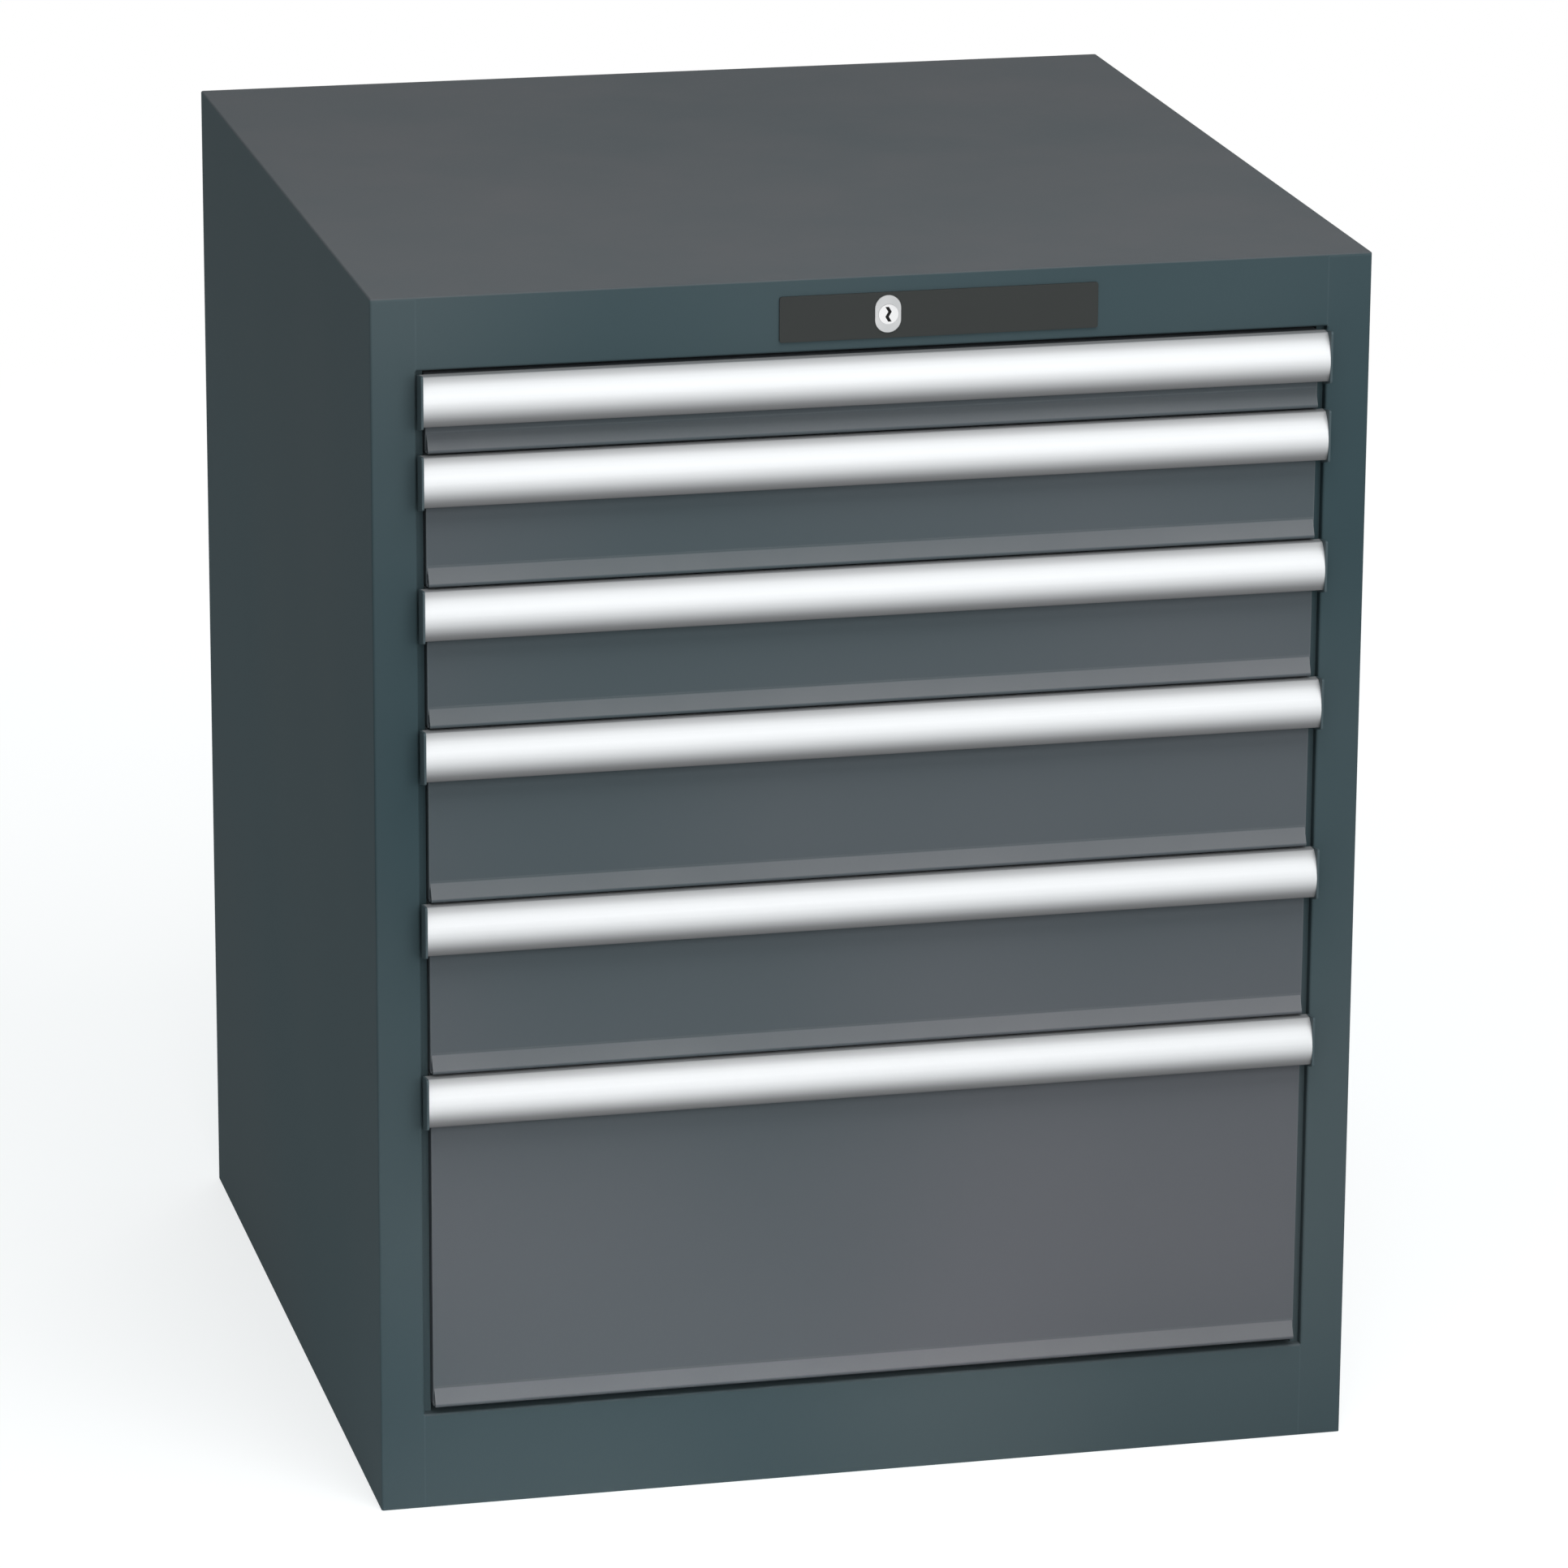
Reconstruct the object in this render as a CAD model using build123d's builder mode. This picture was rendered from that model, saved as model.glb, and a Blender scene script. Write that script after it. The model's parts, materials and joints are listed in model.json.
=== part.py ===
from build123d import *
from math import acos, asin, degrees
import os

# A floor-standing workshop cabinet of folded and welded sheet steel with six full-width drawers.
# It stands on z = 0 and faces -Y, and x = y = 0 is the middle of its box, handles included.
# Each drawer rides on roller carriages that move half as far as the drawer, so it opens almost fully.
# A key plug in the top rail shifts a bar behind the right stile, whose fingers hold every drawer.

# Housing
WIDTH = 564
DEPTH = 572
HEIGHT = 700
SHEET = 1.5
EDGE_RADIUS = 1.4
TOP_EDGE_RADIUS = 1.2
STILE_WIDTH = 25
JAMB_DEPTH = 10
REAR_FLANGE = 20
TOP_FLANGE = 18
FOOT_FLANGE = 35
OPENING_BOTTOM = 56
OPENING_TOP = 659
HEAD_FLANGE_DEPTH = 26
HEAD_FLANGE_HALF = 240
SEAM = 0.2
PLINTH_RETURN_DEPTH = 30
PLINTH_RETURN_HALF = 244
ANCHOR_RADIUS = 5.5
ANCHOR_INSET_X = 20
ANCHOR_INSET_Y = 60

# Drawer fronts, from the top drawer down
FRONT_HEIGHTS = (45, 75, 80, 100, 100, 197.5)
STACK_BOTTOM = 60
FRONT_WIDTH = 504
FRONT_BOTTOM_GAP = 0.8
FRONT_TOP_GAP = 1
FRONT_FOLD_RADIUS = 2
FRONT_FLANGE = 20
LIP_HEIGHT = 10.5
LIP_REACH = 5
LIP_NOSE_RADIUS = 1.6
LIP_END_CUT = 0.6
LIP_SEAM_RISE = 0.8
CATCH_DROP = 7
CATCH_DEPTH = 16
CATCH_LENGTH = 6
CATCH_HEIGHT = 6

# Aluminium grip strips, open towards the floor for the fingers
HANDLE_TOP_GAP = 0.5
HANDLE_HEIGHT = 27.5
HANDLE_REACH = 13
HANDLE_SHELF = 6
HANDLE_EDGE_RADIUS = 1.2
HANDLE_CROWN_DROP = 16
HANDLE_WALL = 1.8
HANDLE_LIP_RADIUS = 0.8
HANDLE_LEG = 14
HANDLE_HALF = 255.4
CAP_THICKNESS = 1.2
CAP_RISE = 2
CAP_TAIL = 3.5
CAP_CORNER = 1.5
CAP_PLUG_LENGTH = 8
CAP_PLUG_FAR = 2
CAP_PLUG_NEAR = 6
CAP_PLUG_TOP = 7.5
CAP_PLUG_BOTTOM = 13

# Drawer trays
TRAY_SHEET = 1.25
TRAY_INNER = 459
TRAY_FLOOR_RISE = 2
TRAY_TOP_DROP = 7
TRAY_FRONT_TOP_DROP = 1.5
TRAY_HEM = 5
SLOT_PITCH = 17
SLOT_COUNT = 26
SLOT_WIDTH = 3
SLOT_MARGIN = 7
SLOT_MAX_HEIGHT = 40

# Runners: a channel on the drawer, a roller carriage and a channel on the cabinet, on each side
RAIL_FRONT_DEPTH = 28
RAIL_LENGTH = 536
RAIL_SHEET = 2
RAIL_FLANGE = 11
RAIL_STOP = 1.5
RAIL_STOP_HEIGHT = 6
ROLLER_RADIUS = 11
ROLLER_PLAY = 0.3
ROLLER_WIDTH = 9.2
ROLLER_EDGE = 0.8
ROLLER_SPACING = 64
AXLE_RADIUS = 3
AXLE_PLAY = 0.05
CARRIAGE_PLATE = 3
CARRIAGE_HEIGHT = 20
CARRIAGE_LENGTH = 92
CARRIAGE_CORNER = 6
CARRIAGE_DEPTH = 296
SIDE_PLAY = 0.6

# Slotted uprights that the cabinet channels hook into
UPRIGHT_DEPTHS = (60, 500)
UPRIGHT_WIDTH = 30
HOOK_PITCH = 25
HOOK_FIRST = 85
HOOK_COUNT = 25
HOOK_SLOT_WIDTH = 3.6
HOOK_SLOT_BELOW = 5.2
HOOK_SLOT_ABOVE = 9
HOOK_WIDTH = 3
HOOK_HALF_HEIGHT = 5
HOOK_DROP = 8
HOOK_REACH = 4.5
HOOK_NECK = 1.7
RAIL_RISE = 25

# Lock in the top rail
LOCK_X = 5.2
LOCK_Z = 678.5
LOCK_PLATE_WIDTH = 180
LOCK_PLATE_HEIGHT = 25.6
LOCK_PLATE_X = 34.4
LOCK_PLATE_Z = 677.8
LOCK_PLATE_THICKNESS = 1.2
LOCK_PLATE_CORNER = 1.5
PLATE_PIN_RADIUS = 2.5
PLATE_PIN_SPACING = 150
PLATE_PIN_LENGTH = 7
BARREL_WIDTH = 15
BARREL_HEIGHT = 21.3
BARREL_PROUD = 2.2
BARREL_DEPTH = 14.5
BARREL_EDGE = 0.8
BARREL_PLAY = 0.1
PLUG_RADIUS = 5.5
PLUG_PLAY = 0.05
PLUG_PROUD = 2.6
PLUG_DEPTH = 15
KEYWAY_HEIGHT = 8.3
KEYWAY_WIDTH = 2.0
KEYWAY_JOG = 0.8
KEYWAY_DEPTH = 10
CAM_THICKNESS = 2.4
CAM_HUB_RADIUS = 6
CAM_ARM_RADIUS = 3.6
CAM_PIN_OFFSET = 5
CAM_PIN_RADIUS = 2
CAM_PIN_END = 22
ROD_DEPTH = 18
ROD_THICKNESS = 3
ROD_BOTTOM = 664
ROD_TOP = 676
ROD_HEAD_TOP = 680
ROD_LEFT = -4
ROD_HEAD_RIGHT = 18
ROD_SLOT_WIDTH = 5
ROD_SLOT_PLAY = 0.6
BAR_LEFT = 264
BAR_RIGHT = 276
BAR_DEPTH = 14
BAR_THICKNESS = 4
BAR_BOTTOM = 50
FINGER_LEFT = 258.8
FINGER_SIZE = 3.6
BAR_THROW = 10
BAR_SLOT_PLAY = 2

# Places worked out from the driving dimensions
HALF_WIDTH = WIDTH / 2
HALF_OPENING = HALF_WIDTH - STILE_WIDTH
HALF_INNER = HALF_WIDTH - SHEET
FRONT_Y = HANDLE_REACH / 2 - DEPTH / 2
BACK_Y = FRONT_Y + DEPTH
TOP_UNDERSIDE = HEIGHT - SHEET
BACK_PANEL_Y = BACK_Y - 2 * SHEET
TRAY_OUTER = TRAY_INNER / 2 + TRAY_SHEET
TRAY_FRONT_Y = FRONT_Y + FRONT_FLANGE
TRAY_BACK_Y = TRAY_FRONT_Y + TRAY_INNER + 2 * TRAY_SHEET
RAIL_BACK_Y = FRONT_Y + RAIL_FRONT_DEPTH + RAIL_LENGTH
CHANNEL_INSIDE = ROLLER_RADIUS + ROLLER_PLAY
CHANNEL_OUTSIDE = CHANNEL_INSIDE + RAIL_SHEET
INNER_ROLLER_X = TRAY_OUTER + RAIL_SHEET + SIDE_PLAY
PLATE_X = INNER_ROLLER_X + ROLLER_WIDTH + SIDE_PLAY
OUTER_ROLLER_X = PLATE_X + CARRIAGE_PLATE + SIDE_PLAY
CABINET_RAIL_X = OUTER_ROLLER_X + ROLLER_WIDTH + SIDE_PLAY + RAIL_SHEET
CARRIAGE_Y = FRONT_Y + CARRIAGE_DEPTH
SIDES = (-1, 1)

os.makedirs("parts", exist_ok=True)


def drawer_levels():
    """Gives each drawer's number, bottom, top and runner height, from the top drawer down."""
    levels = []
    top = STACK_BOTTOM + sum(FRONT_HEIGHTS)
    for number, height in enumerate(FRONT_HEIGHTS, start=1):
        bottom = top - height
        step = round((bottom + RAIL_RISE - HOOK_FIRST) / HOOK_PITCH)
        levels.append((number, bottom, top, HOOK_FIRST + HOOK_PITCH * step))
        top = bottom
    return levels


def facing_front(y):
    """Gives the upright plane at this depth, whose sketches are drawn in x and z."""
    return Plane.XZ.offset(-y)


def block(corner, opposite, mode=Mode.ADD):
    """Adds or cuts the rectangular block between two opposite corners of the piece being built."""
    low = tuple(min(a, b) for a, b in zip(corner, opposite))
    size = tuple(abs(a - b) for a, b in zip(corner, opposite))
    with Locations(low):
        Box(*size, align=(Align.MIN, Align.MIN, Align.MIN), mode=mode)


def write(piece, name):
    """Labels a finished piece and writes it under its own name."""
    piece.label = name
    export_step(piece, f"parts/{name}.step")


def make_side_panel(name, side):
    """One side wall with its front stile, jamb, rear flange, foot flange and top flange.

    The stile's inner edge is rounded along the opening only: above and below, it is welded
    to the top rail and the plinth and ground flush.
    """
    outer = side * HALF_WIDTH
    inner = side * HALF_INNER
    jamb = side * HALF_OPENING
    jamb_back = jamb + side * SHEET
    flange = outer - side * REAR_FLANGE
    foot = side * (HALF_INNER - FOOT_FLANGE)
    anchor_x = outer - side * ANCHOR_INSET_X
    with BuildPart() as panel:
        with BuildSketch():
            with BuildLine():
                Polyline(
                    (outer, FRONT_Y),
                    (jamb, FRONT_Y),
                    (jamb, FRONT_Y + JAMB_DEPTH),
                    (jamb_back, FRONT_Y + JAMB_DEPTH),
                    (jamb_back, FRONT_Y + SHEET),
                    (inner, FRONT_Y + SHEET),
                    (inner, BACK_Y - SHEET),
                    (flange, BACK_Y - SHEET),
                    (flange, BACK_Y),
                    (outer, BACK_Y),
                    close=True,
                )
            plan = make_face()
            fillet(plan.vertices().group_by(Axis.X)[0 if side < 0 else -1], EDGE_RADIUS)
        extrude(amount=TOP_UNDERSIDE)
        with BuildSketch(Plane.XY.offset(OPENING_BOTTOM)):
            with Locations((jamb + side * EDGE_RADIUS / 2, FRONT_Y + EDGE_RADIUS / 2)):
                Rectangle(EDGE_RADIUS, EDGE_RADIUS)
            with Locations((jamb + side * EDGE_RADIUS, FRONT_Y + EDGE_RADIUS)):
                Circle(EDGE_RADIUS, mode=Mode.SUBTRACT)
        extrude(amount=OPENING_TOP - OPENING_BOTTOM, mode=Mode.SUBTRACT)
        block((inner, FRONT_Y + SHEET, 0), (foot, BACK_PANEL_Y - SEAM, SHEET))
        block(
            (inner, FRONT_Y + SHEET, TOP_UNDERSIDE - SHEET),
            (outer - side * TOP_FLANGE, BACK_PANEL_Y - SEAM, TOP_UNDERSIDE),
        )
        with Locations(
            (anchor_x, FRONT_Y + ANCHOR_INSET_Y, SHEET),
            (anchor_x, BACK_Y - ANCHOR_INSET_Y, SHEET),
        ):
            Hole(ANCHOR_RADIUS, depth=SHEET)
    write(panel.part, name)


def make_top_panel():
    """The top sheet, folded down in front as the top rail and back again over the opening."""
    with BuildPart() as top_panel:
        with BuildSketch(Plane.XY.offset(TOP_UNDERSIDE)):
            with Locations((0, (FRONT_Y + BACK_Y) / 2)):
                RectangleRounded(WIDTH, DEPTH, EDGE_RADIUS)
        extrude(amount=SHEET)
        fillet(top_panel.edges().group_by(Axis.Z)[-1], TOP_EDGE_RADIUS)
        block(
            (-HALF_OPENING, FRONT_Y, OPENING_TOP),
            (HALF_OPENING, FRONT_Y + SHEET, TOP_UNDERSIDE),
        )
        block(
            (-HALF_OPENING, FRONT_Y + SHEET, OPENING_TOP),
            (HALF_OPENING, FRONT_Y + JAMB_DEPTH, OPENING_TOP + SHEET),
        )
        block(
            (-HEAD_FLANGE_HALF, FRONT_Y + JAMB_DEPTH, OPENING_TOP),
            (HEAD_FLANGE_HALF, FRONT_Y + HEAD_FLANGE_DEPTH, OPENING_TOP + SHEET),
        )
        lower_edge = top_panel.edges().filter_by(Axis.X).group_by(Axis.Y)[0]
        fillet(lower_edge.sort_by(Axis.Z)[0], EDGE_RADIUS)
        with BuildSketch(facing_front(FRONT_Y)):
            with Locations((LOCK_X, LOCK_Z)):
                SlotOverall(BARREL_HEIGHT + 4 * BARREL_PLAY, BARREL_WIDTH + 4 * BARREL_PLAY, rotation=90)
            with Locations((LOCK_PLATE_X, LOCK_PLATE_Z)):
                with GridLocations(PLATE_PIN_SPACING, 0, 2, 1):
                    Circle(PLATE_PIN_RADIUS + BARREL_PLAY)
        extrude(amount=-SHEET, mode=Mode.SUBTRACT)
    write(top_panel.part, "top_panel")


def make_back_panel():
    """The flat back sheet, set inside the rear flanges of the two sides."""
    half = HALF_INNER - SEAM
    with BuildPart() as back_panel:
        block((-half, BACK_PANEL_Y, 0), (half, BACK_PANEL_Y + SHEET, TOP_UNDERSIDE))
    write(back_panel.part, "back_panel")


def make_base_pan():
    """The plinth below the opening, folded back as the floor under the drawers."""
    half = HALF_INNER - SEAM
    floor = OPENING_BOTTOM - SHEET
    neck = FRONT_Y + JAMB_DEPTH + BAR_SLOT_PLAY
    rear = BACK_PANEL_Y - SEAM
    with BuildPart() as base_pan:
        block((-HALF_OPENING, FRONT_Y, 0), (HALF_OPENING, FRONT_Y + SHEET, OPENING_BOTTOM))
        block((-HALF_OPENING, FRONT_Y + SHEET, floor), (HALF_OPENING, neck, OPENING_BOTTOM))
        block((-half, neck, floor), (half, rear, OPENING_BOTTOM))
        block((-half, rear - SHEET, 2 * SHEET), (half, rear, floor))
        block(
            (-PLINTH_RETURN_HALF, FRONT_Y + SHEET, 0),
            (PLINTH_RETURN_HALF, FRONT_Y + PLINTH_RETURN_DEPTH, SHEET),
        )
        front_edges = base_pan.edges().filter_by(Axis.X).group_by(Axis.Y)[0]
        fillet(front_edges.sort_by(Axis.Z)[-1], EDGE_RADIUS)
        block(
            (BAR_LEFT - BAR_THROW - BAR_SLOT_PLAY, FRONT_Y + BAR_DEPTH - SEAM, floor),
            (BAR_RIGHT + BAR_SLOT_PLAY, FRONT_Y + BAR_DEPTH + BAR_THICKNESS + SEAM, OPENING_BOTTOM),
            mode=Mode.SUBTRACT,
        )
    write(base_pan.part, "base_pan")


def make_uprights():
    """Four upright channels with evenly spaced slots that the cabinet channels hook into."""
    slot_height = HOOK_SLOT_BELOW + HOOK_SLOT_ABOVE
    middle = HOOK_FIRST + HOOK_PITCH * (HOOK_COUNT - 1) / 2 + (HOOK_SLOT_ABOVE - HOOK_SLOT_BELOW) / 2
    with BuildPart() as uprights:
        for side in SIDES:
            web = side * CABINET_RAIL_X
            web_back = web + side * SHEET
            wall = side * HALF_INNER
            for depth in UPRIGHT_DEPTHS:
                near = FRONT_Y + depth - UPRIGHT_WIDTH / 2
                far = FRONT_Y + depth + UPRIGHT_WIDTH / 2
                with BuildSketch(Plane.XY.offset(OPENING_BOTTOM)):
                    with BuildLine():
                        Polyline(
                            (wall, near),
                            (web, near),
                            (web, far),
                            (wall, far),
                            (wall, far - SHEET),
                            (web_back, far - SHEET),
                            (web_back, near + SHEET),
                            (wall, near + SHEET),
                            close=True,
                        )
                    make_face()
                extrude(amount=TOP_UNDERSIDE - SHEET - OPENING_BOTTOM)
                with BuildSketch(Plane.YZ.offset(min(web, web_back))):
                    with Locations((FRONT_Y + depth, middle)):
                        with GridLocations(0, HOOK_PITCH, 1, HOOK_COUNT):
                            Rectangle(HOOK_SLOT_WIDTH, slot_height)
                extrude(amount=SHEET, mode=Mode.SUBTRACT)
    write(uprights.part, "slotted_uprights")


def channel(web, flange_tip, runner_z, stop_web):
    """Adds one runner channel that lies along the depth, with a stop tab at each end."""
    with BuildSketch(facing_front(RAIL_BACK_Y)) as section:
        with BuildLine():
            Polyline(
                (web, runner_z - CHANNEL_OUTSIDE),
                (flange_tip, runner_z - CHANNEL_OUTSIDE),
                (flange_tip, runner_z - CHANNEL_INSIDE),
                (stop_web, runner_z - CHANNEL_INSIDE),
                (stop_web, runner_z + CHANNEL_INSIDE),
                (flange_tip, runner_z + CHANNEL_INSIDE),
                (flange_tip, runner_z + CHANNEL_OUTSIDE),
                (web, runner_z + CHANNEL_OUTSIDE),
                close=True,
            )
        make_face()
    extrude(section.sketch, amount=RAIL_LENGTH)
    for end in (RAIL_BACK_Y - RAIL_STOP, RAIL_BACK_Y - RAIL_LENGTH):
        block(
            (stop_web, end, runner_z - CHANNEL_INSIDE),
            (flange_tip, end + RAIL_STOP, runner_z - CHANNEL_INSIDE + RAIL_STOP_HEIGHT),
        )


def make_cabinet_rails():
    """The channels on the cabinet's sides, one pair for each drawer, hooked into the uprights."""
    with BuildPart() as cabinet_rails:
        for *_, runner_z in drawer_levels():
            for side in SIDES:
                web = side * CABINET_RAIL_X
                neck = web + side * HOOK_NECK
                channel(web, web - side * RAIL_FLANGE, runner_z, web - side * RAIL_SHEET)
                for depth in UPRIGHT_DEPTHS:
                    near = FRONT_Y + depth - HOOK_WIDTH / 2
                    far = FRONT_Y + depth + HOOK_WIDTH / 2
                    block((web, near, runner_z - HOOK_HALF_HEIGHT), (neck, far, runner_z + HOOK_HALF_HEIGHT))
                    block(
                        (neck, near, runner_z - HOOK_DROP),
                        (web + side * HOOK_REACH, far, runner_z + HOOK_HALF_HEIGHT),
                    )
    write(cabinet_rails.part, "cabinet_rails")


def make_lock_plate():
    """The black cover strip on the top rail, pinned through the sheet at both ends."""
    with BuildPart() as lock_plate:
        with BuildSketch(facing_front(FRONT_Y)):
            with Locations((LOCK_PLATE_X, LOCK_PLATE_Z)):
                RectangleRounded(LOCK_PLATE_WIDTH, LOCK_PLATE_HEIGHT, LOCK_PLATE_CORNER)
            with Locations((LOCK_X, LOCK_Z)):
                SlotOverall(
                    BARREL_HEIGHT + 2 * BARREL_PLAY,
                    BARREL_WIDTH + 2 * BARREL_PLAY,
                    rotation=90,
                    mode=Mode.SUBTRACT,
                )
        extrude(amount=LOCK_PLATE_THICKNESS)
        with BuildSketch(facing_front(FRONT_Y)):
            with Locations((LOCK_PLATE_X, LOCK_PLATE_Z)):
                with GridLocations(PLATE_PIN_SPACING, 0, 2, 1):
                    Circle(PLATE_PIN_RADIUS)
        extrude(amount=-PLATE_PIN_LENGTH)
    write(lock_plate.part, "lock_plate")


def make_lock_barrel():
    """The fixed oval lock body that shows as a silver escutcheon, bored for the plug."""
    with BuildPart() as lock_barrel:
        with BuildSketch(facing_front(FRONT_Y + BARREL_DEPTH)):
            with Locations((LOCK_X, LOCK_Z)):
                SlotOverall(BARREL_HEIGHT, BARREL_WIDTH, rotation=90)
        extrude(amount=BARREL_DEPTH + BARREL_PROUD)
        fillet(lock_barrel.edges().group_by(Axis.Y)[0], BARREL_EDGE)
        with BuildSketch(facing_front(FRONT_Y + BARREL_DEPTH)):
            with Locations((LOCK_X, LOCK_Z)):
                Circle(PLUG_RADIUS + PLUG_PLAY)
        extrude(amount=BARREL_DEPTH + BARREL_PROUD, mode=Mode.SUBTRACT)
    write(lock_barrel.part, "lock_barrel")


def make_lock_plug():
    """The turning plug with its jogged keyway."""
    half = KEYWAY_HEIGHT / 2
    with BuildPart() as lock_plug:
        with BuildSketch(facing_front(FRONT_Y + PLUG_DEPTH)):
            with Locations((LOCK_X, LOCK_Z)):
                Circle(PLUG_RADIUS)
        extrude(amount=PLUG_DEPTH + PLUG_PROUD)
        with BuildSketch(facing_front(FRONT_Y - PLUG_PROUD)):
            with BuildLine():
                Polyline(
                    (LOCK_X - KEYWAY_JOG - KEYWAY_WIDTH / 2, LOCK_Z + half),
                    (LOCK_X - KEYWAY_JOG + KEYWAY_WIDTH / 2, LOCK_Z + half),
                    (LOCK_X + KEYWAY_JOG + KEYWAY_WIDTH / 2, LOCK_Z + half / 3),
                    (LOCK_X - KEYWAY_JOG + KEYWAY_WIDTH / 2, LOCK_Z - half / 3),
                    (LOCK_X + KEYWAY_JOG + KEYWAY_WIDTH / 2, LOCK_Z - half),
                    (LOCK_X + KEYWAY_JOG - KEYWAY_WIDTH / 2, LOCK_Z - half),
                    (LOCK_X - KEYWAY_JOG - KEYWAY_WIDTH / 2, LOCK_Z - half / 3),
                    (LOCK_X + KEYWAY_JOG - KEYWAY_WIDTH / 2, LOCK_Z + half / 3),
                    close=True,
                )
            make_face()
        extrude(amount=-KEYWAY_DEPTH, mode=Mode.SUBTRACT)
    write(lock_plug.part, "lock_plug")


def make_lock_cam():
    """The cam on the plug's rear end, whose pin shifts the locking bar."""
    pin = (LOCK_X + CAM_PIN_OFFSET, LOCK_Z - CAM_PIN_OFFSET)
    with BuildPart() as lock_cam:
        with BuildSketch(facing_front(FRONT_Y + PLUG_DEPTH)):
            with Locations((LOCK_X, LOCK_Z)):
                Circle(CAM_HUB_RADIUS)
            with Locations(pin):
                Circle(CAM_ARM_RADIUS)
            make_hull()
        extrude(amount=-CAM_THICKNESS)
        with BuildSketch(facing_front(FRONT_Y + PLUG_DEPTH + CAM_THICKNESS)):
            with Locations(pin):
                Circle(CAM_PIN_RADIUS)
        extrude(amount=PLUG_DEPTH + CAM_THICKNESS - CAM_PIN_END)
    write(lock_cam.part, "lock_cam")


def make_lock_bar():
    """The upright bar with one finger for each drawer, and the rod that ties it to the cam."""
    pin_swing = CAM_PIN_OFFSET * 2 ** 0.5
    slot_x = LOCK_X + CAM_PIN_OFFSET
    rod_y = FRONT_Y + ROD_DEPTH
    bar_y = FRONT_Y + BAR_DEPTH
    finger_y = bar_y + (BAR_THICKNESS - FINGER_SIZE) / 2
    with BuildPart() as lock_bar:
        block((BAR_LEFT, bar_y, BAR_BOTTOM), (BAR_RIGHT, bar_y + BAR_THICKNESS, ROD_TOP))
        for _, _, top, _ in drawer_levels():
            finger_z = top - CATCH_DROP - FINGER_SIZE / 2
            block(
                (FINGER_LEFT, finger_y, finger_z),
                (BAR_LEFT, finger_y + FINGER_SIZE, finger_z + FINGER_SIZE),
            )
        block((ROD_LEFT, rod_y, ROD_BOTTOM), (BAR_RIGHT, rod_y + ROD_THICKNESS, ROD_TOP))
        block((ROD_LEFT, rod_y, ROD_BOTTOM), (ROD_HEAD_RIGHT, rod_y + ROD_THICKNESS, ROD_HEAD_TOP))
        block(
            (
                slot_x - ROD_SLOT_WIDTH / 2,
                rod_y,
                LOCK_Z - pin_swing - CAM_PIN_RADIUS - ROD_SLOT_PLAY,
            ),
            (
                slot_x + ROD_SLOT_WIDTH / 2,
                rod_y + ROD_THICKNESS,
                LOCK_Z - CAM_PIN_OFFSET + CAM_PIN_RADIUS + ROD_SLOT_PLAY,
            ),
            mode=Mode.SUBTRACT,
        )
    write(lock_bar.part, "lock_bar")


def make_tray(number, bottom, top):
    """One drawer tray, welded from a floor, two side walls and two end walls.

    The side walls have a hem along the rim and upright slots for dividers.
    """
    floor = bottom + TRAY_FLOOR_RISE
    rim = top - TRAY_TOP_DROP
    inner = TRAY_OUTER - TRAY_SHEET
    inner_floor = floor + TRAY_SHEET
    slot_height = min(rim - inner_floor - 2 * SLOT_MARGIN, SLOT_MAX_HEIGHT)
    middle_y = (TRAY_FRONT_Y + TRAY_BACK_Y) / 2
    with BuildPart() as floor_sheet:
        block((-TRAY_OUTER, TRAY_FRONT_Y, floor), (TRAY_OUTER, TRAY_BACK_Y, inner_floor))
    with BuildPart() as side_walls:
        for side in SIDES:
            block((side * TRAY_OUTER, TRAY_FRONT_Y, inner_floor), (side * inner, TRAY_BACK_Y, rim))
            block(
                (side * TRAY_OUTER, TRAY_FRONT_Y, rim - TRAY_SHEET),
                (side * (TRAY_OUTER + TRAY_HEM), TRAY_BACK_Y, rim),
            )
        with BuildSketch(Plane.YZ.offset(-TRAY_OUTER)):
            with Locations((middle_y, rim - SLOT_MARGIN - slot_height / 2)):
                with GridLocations(SLOT_PITCH, 0, SLOT_COUNT, 1):
                    Rectangle(SLOT_WIDTH, slot_height)
        extrude(amount=2 * TRAY_OUTER, mode=Mode.SUBTRACT)
    with BuildPart() as end_walls:
        block(
            (-inner, TRAY_FRONT_Y, inner_floor),
            (inner, TRAY_FRONT_Y + TRAY_SHEET, top - TRAY_FRONT_TOP_DROP),
        )
        block((-inner, TRAY_BACK_Y - TRAY_SHEET, inner_floor), (inner, TRAY_BACK_Y, rim))
    tray = Compound(children=[floor_sheet.part, side_walls.part, end_walls.part])
    write(tray, f"drawer_{number}_tray")


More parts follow.
